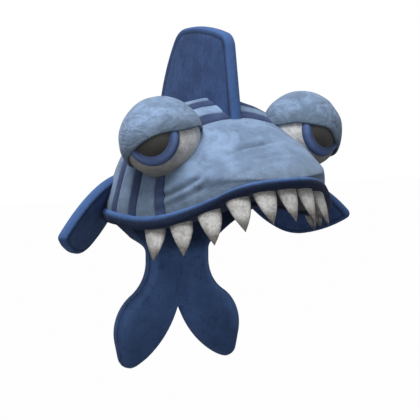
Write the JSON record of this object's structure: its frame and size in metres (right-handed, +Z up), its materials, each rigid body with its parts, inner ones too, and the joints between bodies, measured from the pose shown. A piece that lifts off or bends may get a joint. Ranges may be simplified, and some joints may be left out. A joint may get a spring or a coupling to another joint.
{
  "type": "plush shark hat",
  "caption": "Padded plush shark worn as a hat: hollow striped head with felt teeth and stuffed eyes, upright back fin, side fins, and a body that ends in flukes.",
  "frame": {"origin": "middle of the opening under the head, at the level of its rim", "axes": "+Z up, the shark looks along -Y, +X is the shark's left side"},
  "size_m": [0.3202, 0.2497, 0.3352],
  "materials": {
    "head_cloth": "short light grey-blue pile",
    "stripe_cloth": "dark navy pile, sewn in",
    "fin_cloth": "deep blue pile",
    "lip_cloth": "dark blue padded cloth",
    "felt": "soft white felt with grey edges",
    "fleece": "off-white fleece over stuffing",
    "iris_cloth": "mid blue cloth",
    "pupil_cloth": "charcoal satin",
    "lining_cloth": "smooth dark lining",
    "stuffing": "loose fibre stuffing and foam"
  },
  "bodies": {
    "head": {"snout_cover": "head_cloth", "stripe_front": "stripe_cloth", "crown_panel_front": "head_cloth", "stripe_middle": "stripe_cloth", "crown_panel_rear": "head_cloth", "stripe_rear": "stripe_cloth", "rear_panel": "head_cloth", "head_padding": "stuffing", "head_lining": "lining_cloth", "sweatband": "lining_cloth", "lip_roll": "lip_cloth", "tooth_01": "felt", "tooth_02": "felt", "tooth_03": "felt", "tooth_04": "felt", "tooth_05": "felt", "tooth_06": "felt", "tooth_07": "felt", "tooth_08": "felt", "tooth_09": "felt", "tooth_10": "felt", "tooth_11": "felt", "eyeball_left": "fleece", "iris_left": "iris_cloth", "pupil_left": "pupil_cloth", "eyelid_left": "head_cloth", "eyeball_right": "fleece", "iris_right": "iris_cloth", "pupil_right": "pupil_cloth", "eyelid_right": "head_cloth", "dorsal_fin_base": "fin_cloth", "pectoral_fin_root_left": "fin_cloth", "pectoral_fin_root_right": "fin_cloth", "body": "fin_cloth"},
    "dorsal_fin": {"dorsal_fin_cover": "fin_cloth", "dorsal_fin_foam": "stuffing"},
    "pectoral_fin_left": {"pectoral_fin_cover_left": "fin_cloth", "pectoral_fin_foam_left": "stuffing"},
    "pectoral_fin_right": {"pectoral_fin_cover_right": "fin_cloth", "pectoral_fin_foam_right": "stuffing"},
    "tail": {"tail_stock": "fin_cloth", "fluke_left": "fin_cloth", "fluke_right": "fin_cloth"}
  },
  "joints": [
    {"name": "dorsal_fin_bend", "type": "hinge", "parent": "head", "child": "dorsal_fin", "pos_m": [0, 0.04, 0.1195], "axis": [0, 1, 0], "range_deg": [-20, 20], "stiffness_Nm_per_rad": 0.5},
    {"name": "pectoral_fin_left_bend", "type": "hinge", "parent": "head", "child": "pectoral_fin_left", "pos_m": [0.10877, 0.04236, 0.02589], "axis": [-0.1427, 0.5301, -0.8359], "range_deg": [-30, 20], "stiffness_Nm_per_rad": 0.5},
    {"name": "pectoral_fin_right_bend", "type": "hinge", "parent": "head", "child": "pectoral_fin_right", "pos_m": [-0.10877, 0.04236, 0.02589], "axis": [-0.1427, -0.5301, 0.8359], "range_deg": [-30, 20], "stiffness_Nm_per_rad": 0.5},
    {"name": "tail_bend", "type": "hinge", "parent": "head", "child": "tail", "pos_m": [0, 0.0875, -0.055], "axis": [1, 0, 0], "range_deg": [-30, 35], "stiffness_Nm_per_rad": 0.3}
  ]
}
